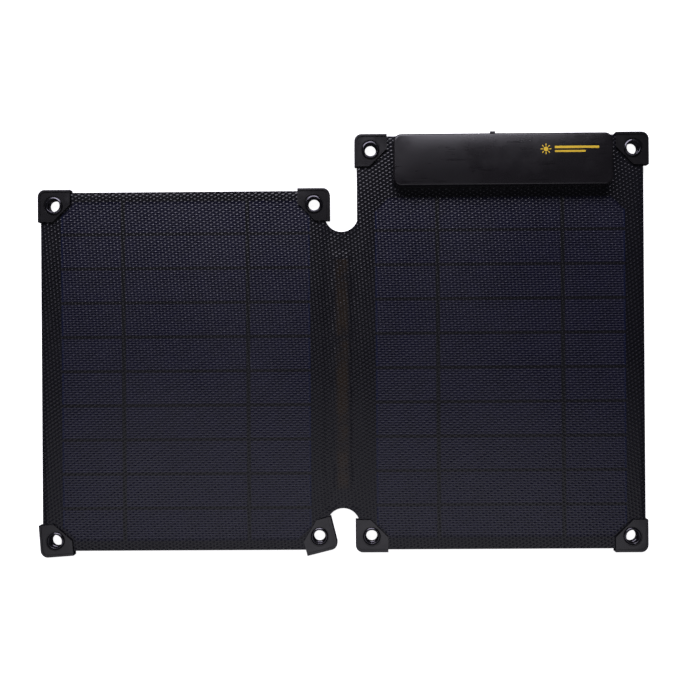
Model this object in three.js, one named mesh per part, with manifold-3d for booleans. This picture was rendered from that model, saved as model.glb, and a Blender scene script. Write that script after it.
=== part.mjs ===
// Folding solar blanket: two laminated solar panels joined by a soft fabric hinge.
// Millimetres, +Z up. The blanket lies open and flat with its cells facing +Z. It rests
// on the rear faces of its eight corner clips, at z = 0. The fold runs along Y.
// The right panel is the taller one, and carries the charge controller box at its top.

import * as THREE from "three";
import { mergeVertices } from "three/addons/utils/BufferGeometryUtils.js";
import Module from "manifold-3d";

const wasm = await Module();
wasm.setup();

// Panels. x = 0 is the middle of the fold and y = 0 is the bottom edge of both fabrics.
const PANEL_WIDTH = 179.6;
const LEFT_HEIGHT = 225.6;
const RIGHT_HEIGHT = 259.5;
const HINGE_HALF = 9.8;
const FABRIC_CORNER = 3.0;
const OUTER_X = HINGE_HALF + PANEL_WIDTH;

// Layers, as [lowest, highest] z.
const REAR_FABRIC_Z = [1.7, 2.25];
const BOARD_Z = [2.3, 3.25];
const CELL_Z = [3.3, 3.62];
const BUSBAR_Z = [3.66, 3.8];
const FILM_Z = [3.84, 4.4];
const WEB_REAR_Z = [3.2, 3.46];
const FLEX_Z = [3.5, 3.8];

// Soft hinge. The strip between the two fold lines is the spine.
const FOLD_LINE_X = 3.7;
const SPINE_HALF = 5.0;
const LUG_START = 5.5;
const TOP_NOTCH = { y: 210.25, r: 10.5 };
const BOTTOM_NOTCH = { y: 15.7, r: 10.3 };
const FLEX = { halfWidth: 4.9, bottom: 38.0, top: 182.6 };

// Solar cells: each row is one strip of a 156.75 mm wafer cut in eight.
const WAFER_WIDTH = 156.75;
const STRIP_HEIGHT = 19.7;
const STRIP_PITCH = 21.55;
const STRIP_COUNT = 10;
const WAFER_CORNER = 8.8;
const LEFT_ARRAY = { x: -176.7, y: 6.0 };
const RIGHT_ARRAY = { x: 21.0, y: 7.3 };
const ARRAY_HEIGHT = STRIP_PITCH * (STRIP_COUNT - 1) + STRIP_HEIGHT;
const BUSBAR_WIDTH = 2.6;
const BUSBAR_PLACES = [0.25, 0.75];
const BOARD_MARGIN = 3.0;
const BOARD_CHAMFER = 18.6;

// Corner clips and eyelets. A clip's own frame has the eyelet at (0, 0) and the outer
// corner of the clip towards (+, +).
const CLIP_REACH = 10.1;
const CLIP_ARM = 20.4;
const CLIP_END = 9.4;
const CLIP_CORNER = 4.6;
const CLIP_Z = [0, 6.2];
const CLIP_BEVEL = 0.6;
const CLIP_WALL = 0.9;
const SLOT_Z = [1.4, 4.7];
const EYELET_HOLE = 4.6;
const EYELET_SEGMENTS = 20;
const EYELET = { bore: 3.5, lip: 4.05, barrel: 4.3, crest: 4.75, outer: 5.5, foot: 0.06, rise: 0.95 };
const EYELET_STEP_Z = [3.1, 3.4];
const RECESS = { r: 5.8, depth: 0.8 };

// Each eyelet is set in from its panel's corner by [x, y]. "quarter" counts the quarter
// turns from a clip whose outer corner points to (+, +), and "slip" is how far the clip
// has turned about its eyelet, in degrees, as these clips do in use.
const LEFT_CLIPS = [
  { name: "top_outer", inset: [8.6, 8.3], quarter: 1, slip: 0 },
  { name: "top_inner", inset: [7.4, 8.5], quarter: 0, slip: 0 },
  { name: "bottom_outer", inset: [8.6, 6.6], quarter: 2, slip: 4 },
  { name: "bottom_inner", inset: [5.2, 8.7], quarter: 3, slip: 14 },
];
const RIGHT_CLIPS = [
  { name: "top_inner", inset: [8.7, 8.8], quarter: 1, slip: 0 },
  { name: "top_outer", inset: [7.0, 8.8], quarter: 0, slip: 0 },
  { name: "bottom_inner", inset: [8.0, 8.6], quarter: 2, slip: 0 },
  { name: "bottom_outer", inset: [8.8, 7.9], quarter: 3, slip: 0 },
];

// Charge controller box.
const BOX = { x0: 32.5, x1: 168.1, y0: 226.3, y1: 258.7, corner: 5.0 };
const BASE_Z = [4.43, 5.83];
const COVER_Z = [5.86, 15.4];
const COVER_ROUND = 1.4;
const COVER_WALL = 1.7;
const CAVITY_TOP = 14.0;
const POST_RADIUS = 3.0;
const POST_SPLIT_Z = 9.0;
const SCREW = { inset: 6.0, hole: 1.6, shank: 1.25, head: 2.8, headZ: 0.55, top: 12.8 };
const LEAD_HOLE = { x: 122.0, y: 242.0, r: 2.5 };
const PORT_X = 93.9;
const PORT_Z = 10.66;
const PCB = { x0: 68.9, x1: 118.9, y0: 231.6, y1: 255.4, z: [6.83, 7.83] };
const PCB_RIB = { xs: [75, 111], width: 2 };
const SOCKET = { width: 13.4, height: 5.6, wall: 0.35, y0: 243.0, y1: 256.7 };
const SOCKET_REAR = { width: 12.0, y: [243.3, 246.3], clear: 0.3 };
const SOCKET_TONGUE = { width: 10.8, y: [246.0, 255.6], thick: 1.8, clear: 0.4 };
const INDUCTOR = { x: 78, y: 239, r: 5, height: 4.6, sides: 20 };
const PORT_OPENING = { width: 13.9, height: 6.1 };
const FLAP_RECESS = { width: 17.2, z: [6.7, 14.1], depth: 0.95 };
const FLAP = { width: 16.6, z: [7.0, 13.8], thick: 0.85 };
const FLAP_PLUG = { width: 13.2, height: 5.4, y: [1.6, 0.8] };
const FLAP_TAB = { width: 3.1, z: [12.4, 13.5], y: 260.0, root: 0.4 };

// Round corners' steps, the gap between neighbours, how deep joined bodies run into each
// other, and how far a cutting body reaches past what it cuts.
const CORNER_SEGMENTS = 5;
const GAP = 0.03;
const JOIN = 0.2;
const PAST = 9;

const finish = (color, roughness, metalness) =>
  new THREE.MeshStandardMaterial({ color, roughness, metalness });
const MATERIAL = {
  film: finish(0x24232e, 0.45, 0.0),
  cell: finish(0x16182e, 0.3, 0.2),
  copper: finish(0xb07040, 0.4, 0.9),
  board: finish(0x2f3a2c, 0.7, 0.0),
  fabric: finish(0x1c1c20, 0.9, 0.0),
  clip: finish(0x1a1a1d, 0.55, 0.0),
  eyelet: finish(0x303034, 0.25, 0.9),
  housing: finish(0x232226, 0.5, 0.0),
  circuit: finish(0x1f5a35, 0.5, 0.0),
  steel: finish(0x9a9a9c, 0.35, 0.9),
  ferrite: finish(0x3a3a3c, 0.7, 0.1),
  rubber: finish(0x18181a, 0.8, 0.0),
};

const blanket = new THREE.Group();

function addPart(name, geometry, material) {
  const mesh = new THREE.Mesh(geometry, material);
  mesh.name = name;
  blanket.add(mesh);
  return mesh;
}

// Solids for joining and cutting.
function solid(geometry) {
  const bare = geometry.clone();
  bare.deleteAttribute("normal");
  bare.deleteAttribute("uv");
  const merged = mergeVertices(bare, 1e-4);
  return new wasm.Manifold(
    new wasm.Mesh({
      numProp: 3,
      vertProperties: merged.attributes.position.array,
      triVerts: new Uint32Array(merged.index.array),
    }),
  );
}

function geometryOf(made) {
  const { vertProperties, triVerts } = made.getMesh();
  const indexed = new THREE.BufferGeometry();
  indexed.setAttribute("position", new THREE.BufferAttribute(vertProperties, 3));
  indexed.setIndex(new THREE.BufferAttribute(triVerts, 1));
  const flat = indexed.toNonIndexed();
  flat.computeVertexNormals();
  return flat;
}

// Outlines.
function arc(cx, cy, r, from, to, steps) {
  const points = [];
  for (let i = 0; i <= steps; i += 1) {
    const angle = THREE.MathUtils.degToRad(from + ((to - from) * i) / steps);
    points.push(new THREE.Vector2(cx + r * Math.cos(angle), cy + r * Math.sin(angle)));
  }
  return points;
}

function roundedRectangle(x0, y0, x1, y1, r) {
  return [
    ...arc(x1 - r, y0 + r, r, -90, 0, CORNER_SEGMENTS),
    ...arc(x1 - r, y1 - r, r, 0, 90, CORNER_SEGMENTS),
    ...arc(x0 + r, y1 - r, r, 90, 180, CORNER_SEGMENTS),
    ...arc(x0 + r, y0 + r, r, 180, 270, CORNER_SEGMENTS),
  ];
}

function plate(outline, z, holes = []) {
  const shape = new THREE.Shape(outline);
  for (const hole of holes) {
    shape.holes.push(new THREE.Path(arc(hole.x, hole.y, hole.r, 0, 360, hole.sides)));
  }
  const geometry = new THREE.ExtrudeGeometry(shape, {
    depth: z[1] - z[0],
    bevelEnabled: false,
  });
  return geometry.translate(0, 0, z[0]);
}

function block(x0, x1, y0, y1, z0, z1) {
  return new THREE.BoxGeometry(x1 - x0, y1 - y0, z1 - z0).translate(
    (x0 + x1) / 2,
    (y0 + y1) / 2,
    (z0 + z1) / 2,
  );
}

function rod(x, y, r, z0, z1, sides = 16) {
  return new THREE.CylinderGeometry(r, r, z1 - z0, sides)
    .rotateX(Math.PI / 2)
    .translate(x, y, (z0 + z1) / 2);
}

// The height above or below a notch's centre at which its arc crosses a given x.
const notchRise = (notch, x) => Math.sqrt(notch.r ** 2 - x ** 2);
const notchAngle = (notch, x) => THREE.MathUtils.radToDeg(Math.acos(x / notch.r));

const sideSign = (side) => (side === "left" ? -1 : 1);
const mirrored = (points, side) =>
  side === "right" ? points : points.map((p) => new THREE.Vector2(-p.x, p.y)).reverse();

// A panel's full outline on the +X side: a rectangle with round corners, and the lug that
// reaches over the hinge as far as the fold line, between the two notches.
function panelOutline(side, height) {
  const r = FABRIC_CORNER;
  const topFrom = -notchAngle(TOP_NOTCH, LUG_START);
  const topTo = -notchAngle(TOP_NOTCH, HINGE_HALF);
  const bottomFrom = notchAngle(BOTTOM_NOTCH, HINGE_HALF);
  const bottomTo = notchAngle(BOTTOM_NOTCH, LUG_START);
  const points = [
    ...arc(OUTER_X - r, r, r, -90, 0, CORNER_SEGMENTS),
    ...arc(OUTER_X - r, height - r, r, 0, 90, CORNER_SEGMENTS),
    ...arc(HINGE_HALF + r, height - r, r, 90, 180, CORNER_SEGMENTS),
    ...arc(0, TOP_NOTCH.y, TOP_NOTCH.r, topTo, topFrom, 4),
    ...arc(0, BOTTOM_NOTCH.y, BOTTOM_NOTCH.r, bottomTo, bottomFrom, 4),
    ...arc(HINGE_HALF + r, r, r, 180, 270, CORNER_SEGMENTS),
  ];
  return mirrored(points, side);
}

function eyeletCentre(side, height, clip) {
  const [fromSide, fromEnd] = clip.inset;
  const outer = clip.name.endsWith("outer");
  const x = outer ? OUTER_X - fromSide : HINGE_HALF + fromSide;
  const y = clip.name.startsWith("top") ? height - fromEnd : fromEnd;
  return { x: x * sideSign(side), y };
}

function screwPlaces() {
  const { x0, x1, y0, y1 } = BOX;
  const i = SCREW.inset;
  return [
    [x0 + i, y0 + i],
    [x1 - i, y0 + i],
    [x0 + i, y1 - i],
    [x1 - i, y1 - i],
  ];
}

const screwHoles = () => screwPlaces().map(([x, y]) => ({ x, y, r: SCREW.hole, sides: 12 }));

// Holes through a panel's skins: the eyelets, and on the right panel the box's screws.
function panelHoles(side, height, clips) {
  const holes = clips.map((clip) => ({
    ...eyeletCentre(side, height, clip),
    r: EYELET_HOLE,
    sides: EYELET_SEGMENTS,
  }));
  return side === "right" ? [...holes, ...screwHoles()] : holes;
}

// Rear fabric: flat behind the board, stepping up beside it to the thin hinge web.
function rearFabric(side, height, holes) {
  const s = sideSign(side);
  const step = 0.6;
  const overlap = 0.3;
  const lugTop = TOP_NOTCH.y - notchRise(TOP_NOTCH, HINGE_HALF);
  const lugBottom = BOTTOM_NOTCH.y + notchRise(BOTTOM_NOTCH, HINGE_HALF);
  const ends = [s * (HINGE_HALF - overlap), s * (HINGE_HALF + step)].sort((a, b) => a - b);
  const flat = plate(
    mirrored(roundedRectangle(HINGE_HALF, 0, OUTER_X, height, FABRIC_CORNER), side),
    REAR_FABRIC_Z,
    holes,
  );
  const riser = block(...ends, lugBottom, lugTop, REAR_FABRIC_Z[0], WEB_REAR_Z[1]);
  const full = solid(plate(panelOutline(side, height), WEB_REAR_Z));
  const reach = [s * LUG_START, s * HINGE_HALF].sort((a, b) => a - b);
  const lug = full.intersect(solid(block(...reach, lugBottom, lugTop, 0, PAST)));
  const notches = [TOP_NOTCH, BOTTOM_NOTCH].map((n) => solid(rod(0, n.y, n.r, 0, PAST, 48)));
  const web = solid(riser).add(lug);
  return geometryOf(solid(flat).add(web.subtract(notches[0]).subtract(notches[1])));
}

// Backing board: stiff sheet under the cells. It is set in from the fabric's edges, and its
// corners are cut off so that the eyelets pass through the two skins only.
function backingBoard(side, height) {
  const m = BOARD_MARGIN;
  const c = BOARD_CHAMFER;
  const [x0, x1, y0, y1] = [HINGE_HALF + m, OUTER_X - m, m, height - m];
  const corners = [
    [x0 + c, y0],
    [x1 - c, y0],
    [x1, y0 + c],
    [x1, y1 - c],
    [x1 - c, y1],
    [x0 + c, y1],
    [x0, y1 - c],
    [x0, y0 + c],
  ].map(([x, y]) => new THREE.Vector2(x, y));
  return plate(mirrored(corners, side), BOARD_Z, side === "right" ? screwHoles() : []);
}

// One cell row. The wafer's cropped corners show at the array's four corners.
function cellStrip(array, row) {
  const x0 = array.x;
  const x1 = array.x + WAFER_WIDTH;
  const y0 = array.y + row * STRIP_PITCH;
  const y1 = y0 + STRIP_HEIGHT;
  const low = row === 0 ? WAFER_CORNER : 0;
  const high = row === STRIP_COUNT - 1 ? WAFER_CORNER : 0;
  const corners = [
    [x0 + low, y0],
    [x1 - low, y0],
    ...(low ? [[x1, y0 + low]] : []),
    ...(high ? [[x1, y1 - high]] : []),
    [x1 - high, y1],
    [x0 + high, y1],
    ...(high ? [[x0, y1 - high]] : []),
    ...(low ? [[x0, y0 + low]] : []),
  ];
  return plate(corners.map(([x, y]) => new THREE.Vector2(x, y)), CELL_Z);
}

// Corner clip: a moulded pocket around the laminate, held only by its eyelet.
function clipGeometry() {
  const far = CLIP_REACH - CLIP_ARM;
  const near = CLIP_REACH - CLIP_END;
  const outline = [
    ...arc(
      CLIP_REACH - CLIP_CORNER,
      CLIP_REACH - CLIP_CORNER,
      CLIP_CORNER,
      0,
      90,
      CORNER_SEGMENTS,
    ),
    new THREE.Vector2(far, CLIP_REACH),
    new THREE.Vector2(far, near),
    new THREE.Vector2(near, far),
    new THREE.Vector2(CLIP_REACH, far),
  ];
  const body = new THREE.ExtrudeGeometry(new THREE.Shape(outline), {
    depth: CLIP_Z[1] - CLIP_Z[0] - 2 * CLIP_BEVEL,
    bevelThickness: CLIP_BEVEL,
    bevelSize: CLIP_BEVEL,
    bevelOffset: -CLIP_BEVEL,
    bevelSegments: 1,
  }).translate(0, 0, CLIP_Z[0] + CLIP_BEVEL);
  const inner = CLIP_REACH - CLIP_WALL;
  const slot = plate(
    roundedRectangle(-2 * CLIP_ARM, -2 * CLIP_ARM, inner, inner, CLIP_CORNER - CLIP_WALL),
    SLOT_Z,
  );
  const hole = rod(0, 0, EYELET_HOLE, -1, CLIP_Z[1] + 1, EYELET_SEGMENTS);
  const recess = rod(0, 0, RECESS.r, -1, RECESS.depth, EYELET_SEGMENTS);
  return geometryOf(
    solid(body).subtract(solid(slot)).subtract(solid(hole)).subtract(solid(recess)),
  );
}

// Eyelet: a rolled front flange, a stepped bore and a rear flange sunk in the clip.
function eyeletGeometry() {
  const { bore, lip, barrel, crest, outer, foot, rise } = EYELET;
  const [stepLow, stepHigh] = EYELET_STEP_Z;
  const top = CLIP_Z[1] + GAP;
  const rear = RECESS.depth - GAP;
  const profile = [
    [bore, foot + 0.29],
    [bore + 0.4, foot],
    [outer, foot],
    [outer, rear],
    [barrel, rear],
    [barrel, top],
    [outer, top],
    [outer - 0.25, top + 0.6],
    [crest, top + rise],
    [barrel, top + 0.75],
    [lip, top + 0.2],
    [lip, stepHigh],
    [bore, stepLow],
    [bore, foot + 0.29],
  ].map(([r, z]) => new THREE.Vector2(r, z));
  return new THREE.LatheGeometry(profile, EYELET_SEGMENTS).rotateX(Math.PI / 2);
}

function buildPanel(side, height, array, clips) {
  const holes = panelHoles(side, height, clips);
  const filmHoles = side === "right" ? [...holes, { ...LEAD_HOLE, sides: 12 }] : holes;
  addPart(`${side}_front_film`, plate(panelOutline(side, height), FILM_Z, filmHoles), MATERIAL.film);
  for (let row = 0; row < STRIP_COUNT; row += 1) {
    const name = `${side}_cell_${String(row + 1).padStart(2, "0")}`;
    addPart(name, cellStrip(array, row), MATERIAL.cell);
  }
  BUSBAR_PLACES.forEach((place, i) => {
    const x = array.x + place * WAFER_WIDTH;
    const half = BUSBAR_WIDTH / 2;
    const ends = [array.y + 1, array.y + ARRAY_HEIGHT - 1];
    const ribbon = block(x - half, x + half, ...ends, ...BUSBAR_Z);
    addPart(`${side}_busbar_${i + 1}`, ribbon, MATERIAL.copper);
  });
  addPart(`${side}_backing_board`, backingBoard(side, height), MATERIAL.board);
  addPart(`${side}_rear_fabric`, rearFabric(side, height, holes), MATERIAL.fabric);
  for (const clip of clips) {
    const { x, y } = eyeletCentre(side, height, clip);
    const turn = clip.quarter * 90 + clip.slip;
    const body = addPart(`${side}_clip_${clip.name}`, clipGeometry(), MATERIAL.clip);
    body.position.set(x, y, 0);
    body.rotation.z = THREE.MathUtils.degToRad(turn);
    const ring = addPart(`${side}_eyelet_${clip.name}`, eyeletGeometry(), MATERIAL.eyelet);
    ring.position.set(x, y, 0);
  }
}

// The spine: front skin, flex ribbon and rear skin between the two fold lines.
function spineSkin(z) {
  const topEdge = notchAngle(TOP_NOTCH, SPINE_HALF);
  const bottomEdge = notchAngle(BOTTOM_NOTCH, SPINE_HALF);
  return plate(
    [
      ...arc(0, BOTTOM_NOTCH.y, BOTTOM_NOTCH.r, 180 - bottomEdge, bottomEdge, 8),
      ...arc(0, TOP_NOTCH.y, TOP_NOTCH.r, -topEdge, topEdge - 180, 8),
    ],
    z,
  );
}

function buildSpine() {
  addPart("hinge_front_skin", spineSkin(FILM_Z), MATERIAL.film);
  const { halfWidth, bottom, top } = FLEX;
  addPart("hinge_flex_ribbon", block(-halfWidth, halfWidth, bottom, top, ...FLEX_Z), MATERIAL.copper);
  addPart("hinge_rear_skin", spineSkin(WEB_REAR_Z), MATERIAL.fabric);
}

function boxBase() {
  const { x0, x1, y0, y1, corner } = BOX;
  let made = solid(plate(roundedRectangle(x0, y0, x1, y1, corner), BASE_Z));
  for (const [x, y] of screwPlaces()) {
    made = made.add(solid(rod(x, y, POST_RADIUS, BASE_Z[0] + JOIN, POST_SPLIT_Z)));
  }
  for (const x of PCB_RIB.xs) {
    const half = PCB_RIB.width / 2;
    const rib = block(x - half, x + half, PCB.y0, PCB.y1, BASE_Z[0] + JOIN, PCB.z[0] - GAP);
    made = made.add(solid(rib));
  }
  for (const [x, y] of screwPlaces()) {
    made = made.subtract(solid(rod(x, y, SCREW.hole, 0, POST_SPLIT_Z + 1, 12)));
  }
  return geometryOf(made.subtract(solid(rod(LEAD_HOLE.x, LEAD_HOLE.y, LEAD_HOLE.r, 0, PAST, 12))));
}

function boxCover() {
  const { x0, x1, y0, y1, corner } = BOX;
  const below = 3;
  const outer = new THREE.ExtrudeGeometry(
    new THREE.Shape(roundedRectangle(x0, y0, x1, y1, corner)),
    {
      depth: COVER_Z[1] - COVER_Z[0] + below - COVER_ROUND,
      bevelThickness: COVER_ROUND,
      bevelSize: COVER_ROUND,
      bevelOffset: -COVER_ROUND,
      bevelSegments: 3,
    },
  ).translate(0, 0, COVER_Z[0] - below);
  const w = COVER_WALL;
  const cavity = plate(
    roundedRectangle(x0 + w, y0 + w, x1 - w, y1 - w, corner - w),
    [COVER_Z[0] - PAST, CAVITY_TOP],
  );
  const under = block(x0 - PAST, x1 + PAST, y0 - PAST, y1 + PAST, -PAST, COVER_Z[0]);
  let made = solid(outer).subtract(solid(cavity)).subtract(solid(under));
  for (const [x, y] of screwPlaces()) {
    made = made.add(solid(rod(x, y, POST_RADIUS, POST_SPLIT_Z + GAP, CAVITY_TOP + 0.5)));
  }
  for (const [x, y] of screwPlaces()) {
    made = made.subtract(solid(rod(x, y, SCREW.hole, 0, SCREW.top + 0.3, 12)));
  }
  const { width, height } = PORT_OPENING;
  const opening = block(
    PORT_X - width / 2,
    PORT_X + width / 2,
    y1 - 2 * w,
    y1 + 1,
    PORT_Z - height / 2,
    PORT_Z + height / 2,
  );
  const half = FLAP_RECESS.width / 2;
  const seat = block(PORT_X - half, PORT_X + half, y1 - FLAP_RECESS.depth, y1 + 1, ...FLAP_RECESS.z);
  return geometryOf(made.subtract(solid(opening)).subtract(solid(seat)));
}

// USB socket: a folded steel shell open at both ends, around a plastic tongue.
function socketShell() {
  const { width, height, wall, y0, y1 } = SOCKET;
  const z0 = PCB.z[1] + GAP;
  const outer = block(PORT_X - width / 2, PORT_X + width / 2, y0, y1, z0, z0 + height);
  const inner = block(
    PORT_X - width / 2 + wall,
    PORT_X + width / 2 - wall,
    y0 - 1,
    y1 + 1,
    z0 + wall,
    z0 + height - wall,
  );
  return geometryOf(solid(outer).subtract(solid(inner)));
}

function socketTongue() {
  const z0 = PCB.z[1] + GAP + SOCKET.wall;
  const top = z0 + SOCKET.height - 2 * SOCKET.wall;
  const acrossX = (width) => [PORT_X - width / 2, PORT_X + width / 2];
  const { clear } = SOCKET_REAR;
  const rear = block(...acrossX(SOCKET_REAR.width), ...SOCKET_REAR.y, z0 + clear, top - clear);
  const under = top - SOCKET_TONGUE.clear;
  const tongue = block(
    ...acrossX(SOCKET_TONGUE.width),
    ...SOCKET_TONGUE.y,
    under - SOCKET_TONGUE.thick,
    under,
  );
  return geometryOf(solid(rear).add(solid(tongue)));
}

// Rubber flap over the socket. It turns about the lower edge of its outer face.
function portFlap() {
  const { width, z, thick } = FLAP;
  const outerY = BOX.y1;
  const cover = block(PORT_X - width / 2, PORT_X + width / 2, outerY - thick, outerY, ...z);
  const stopper = block(
    PORT_X - FLAP_PLUG.width / 2,
    PORT_X + FLAP_PLUG.width / 2,
    outerY - FLAP_PLUG.y[0],
    outerY - FLAP_PLUG.y[1],
    PORT_Z - FLAP_PLUG.height / 2,
    PORT_Z + FLAP_PLUG.height / 2,
  );
  const half = FLAP_TAB.width / 2;
  const rootY = outerY - FLAP_TAB.root;
  const tab = block(PORT_X - half, PORT_X + half, rootY, FLAP_TAB.y, ...FLAP_TAB.z);
  return geometryOf(solid(cover).add(solid(stopper)).add(solid(tab)));
}

function screwGeometry() {
  const seat = REAR_FABRIC_Z[0] - GAP;
  const { head, headZ, shank, top } = SCREW;
  const profile = [
    [0, headZ],
    [head - 0.5, headZ],
    [head, headZ + 0.4],
    [head, seat],
    [shank, seat],
    [shank, top - 0.6],
    [0, top],
  ].map(([r, z]) => new THREE.Vector2(r, z));
  return new THREE.LatheGeometry(profile, 12).rotateX(Math.PI / 2);
}

function buildBox() {
  addPart("controller_box_base", boxBase(), MATERIAL.housing);
  addPart("controller_box_cover", boxCover(), MATERIAL.housing);
  const board = block(PCB.x0, PCB.x1, PCB.y0, PCB.y1, ...PCB.z);
  addPart("circuit_board", board, MATERIAL.circuit);
  const { x, y, r, height, sides } = INDUCTOR;
  const coil = rod(x, y, r, PCB.z[1] + GAP, PCB.z[1] + height, sides);
  addPart("power_inductor", coil, MATERIAL.ferrite);
  addPart("usb_socket_shell", socketShell(), MATERIAL.steel);
  addPart("usb_socket_tongue", socketTongue(), MATERIAL.clip);
  addPart("port_flap", portFlap(), MATERIAL.rubber);
  screwPlaces().forEach(([screwX, screwY], i) => {
    const screw = addPart(`box_screw_${i + 1}`, screwGeometry(), MATERIAL.steel);
    screw.position.set(screwX, screwY, 0);
  });
}

buildPanel("left", LEFT_HEIGHT, LEFT_ARRAY, LEFT_CLIPS);
buildPanel("right", RIGHT_HEIGHT, RIGHT_ARRAY, RIGHT_CLIPS);
buildSpine();
buildBox();

// The origin is the middle of the bounding box, at its lowest face.
const bounds = new THREE.Box3().setFromObject(blanket, true);
const middle = bounds.getCenter(new THREE.Vector3());
blanket.position.set(-middle.x, -middle.y, -bounds.min.z);

export default blanket;
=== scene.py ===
"""Looks for the folding solar blanket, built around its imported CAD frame.

Places are in millimetres from the foot of the fold: x = 0 is the middle of the hinge and
y = 0 is the bottom edge of both panels. Meshes are turned into metres in the row frame.
"""

import math

import bmesh
import bpy
import numpy as np
from mathutils import Matrix, Vector
from mathutils.geometry import delaunay_2d_cdt


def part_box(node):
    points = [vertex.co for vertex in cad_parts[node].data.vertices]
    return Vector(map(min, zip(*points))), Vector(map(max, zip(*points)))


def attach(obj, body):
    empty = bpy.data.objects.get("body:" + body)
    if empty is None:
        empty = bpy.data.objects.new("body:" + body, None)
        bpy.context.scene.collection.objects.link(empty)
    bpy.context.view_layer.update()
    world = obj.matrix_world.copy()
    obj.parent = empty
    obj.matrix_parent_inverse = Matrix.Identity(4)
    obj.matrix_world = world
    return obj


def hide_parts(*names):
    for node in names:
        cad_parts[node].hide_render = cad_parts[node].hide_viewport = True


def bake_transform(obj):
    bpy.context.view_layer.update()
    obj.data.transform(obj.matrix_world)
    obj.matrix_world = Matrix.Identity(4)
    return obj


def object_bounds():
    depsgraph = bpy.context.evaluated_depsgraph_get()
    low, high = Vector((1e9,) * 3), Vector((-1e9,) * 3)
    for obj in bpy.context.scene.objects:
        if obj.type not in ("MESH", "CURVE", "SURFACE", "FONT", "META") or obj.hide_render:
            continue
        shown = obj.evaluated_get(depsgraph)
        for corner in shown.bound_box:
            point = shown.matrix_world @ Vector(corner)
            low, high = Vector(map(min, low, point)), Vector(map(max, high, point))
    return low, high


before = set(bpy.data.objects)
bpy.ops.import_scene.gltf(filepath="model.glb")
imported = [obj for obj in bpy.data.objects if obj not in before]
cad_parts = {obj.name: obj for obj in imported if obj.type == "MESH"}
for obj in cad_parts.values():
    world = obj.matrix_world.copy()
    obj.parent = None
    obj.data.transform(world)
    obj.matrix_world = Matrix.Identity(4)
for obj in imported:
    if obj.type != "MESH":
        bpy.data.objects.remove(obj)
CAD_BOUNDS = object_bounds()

MM = 0.001
SIDES = {"left": -1, "right": 1}
CORNERS = ("top_outer", "top_inner", "bottom_outer", "bottom_inner")

spine_low, spine_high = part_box("hinge_front_skin")
ORIGIN = Vector(((spine_low.x + spine_high.x) / 2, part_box("right_front_film")[0].y, 0))


def box_mm(node):
    """A CAD node's lowest and highest corners, in millimetres from the foot of the fold."""
    return [(corner - ORIGIN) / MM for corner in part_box(node)]


# Places that the frame gives.
OUTER_X = box_mm("right_front_film")[1].x
HEIGHT = {side: box_mm(f"{side}_front_film")[1].y for side in SIDES}
FILM_TOP = box_mm("right_front_film")[1].z
CELL_LOW, CELL_HIGH = box_mm("right_cell_01")
CELL_WIDTH = CELL_HIGH.x - CELL_LOW.x
CELL_HEIGHT = CELL_HIGH.y - CELL_LOW.y
CELL_PITCH = box_mm("right_cell_02")[0].y - CELL_LOW.y
ARRAY_HEIGHT = box_mm("right_cell_10")[1].y - CELL_LOW.y
FLEX_LOW, FLEX_HIGH = box_mm("hinge_flex_ribbon")
COVER_LOW, COVER_HIGH = box_mm("controller_box_cover")
FLAP_LOW, FLAP_HIGH = box_mm("port_flap")
REAR_Z = box_mm("right_rear_fabric")[0].z
WEB_REAR_TOP = box_mm("hinge_rear_skin")[1].z

# The panels' outline, as the CAD has it.
HINGE_HALF = 9.8
FABRIC_CORNER = 3.0
TOP_NOTCH = {"y": 210.25, "r": 10.5}
BOTTOM_NOTCH = {"y": 15.7, "r": 10.3}
EYELET_HOLE = 4.6
SCREW_HOLE = 1.6

# Layers: a skin's thickness, the board's distance from the panel's edge, and how far the
# skins leave their flat places there, over the web and over the ribbon.
SKIN = 0.5
BOARD_MARGIN = 3.0
EDGE_DROP = 0.15
EDGE_RISE = 1.4
WEB_DROP = 0.35
RIBBON_DROP = 0.05

# Where the skins bend: how far from its edge a skin is flat again, how far past the notches'
# middles the web begins and is full, and how far past the ribbon its rise fades out.
EDGE_FLAT = 0.2
WEB_FADE = (4, 12)
RIBBON_FADE = {"side": 1.2, "end": 7}

# Unevenness of a laminate that has been folded: heights, and lengths of the waves.
RIPPLE = {"height": 0.05, "broad": (31, 27), "shift": (1.3, 0.4), "slant": (17, 22), "share": 0.6}
RIPPLE_ON_PANEL = 0.6

# Creases beside the fold, as (x, depth), and how they wander, as (size, length, shift).
CREASES = ((-7.6, 0.06), (-6.1, 0.09), (6.0, 0.09), (7.7, 0.06))
CREASE_WIDTH = 0.45
CREASE_WANDER = ((0.35, 19, 0), (0.2, 7.3, 1))

# Mesh steps, and how far inner points keep from the sheet's edges and holes.
GRID = {"outline": 1.6, "web": 1.3, "panel": 7.0, "rear": 2.2}
GRID_CLEAR = {"pits": 0.5, "plain": 0.9}
WEB_GRID_REACH = HINGE_HALF + 4
HOLE_SIDES = 40
ARC_STEPS = {"corner": 8, "notch": 14}

# Emboss: oval pits on a honeycomb lattice, a little turned from the panel's edges.
PIT_PITCH = 2.46
PIT_TURN = 5.0
PIT_RADIUS = 0.74
PIT_STRETCH = 1.70
PIT_LEAN = 14.0
PIT_DEPTH = 0.12
PIT_BUMP = 0.108
LATTICE_REACH = 400.0


# ---- mesh helpers


def smooth(low, high, value):
    """0 below low, 1 above high and a smooth step between, for numbers or arrays."""
    t = np.clip((value - low) / (high - low), 0, 1)
    return t * t * (3 - 2 * t)


def arc(cx, cy, r, start, stop, steps):
    """Points along an arc, with angles in degrees."""
    angles = np.radians(np.linspace(start, stop, steps + 1))
    return np.stack([cx + r * np.cos(angles), cy + r * np.sin(angles)], 1)


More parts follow.
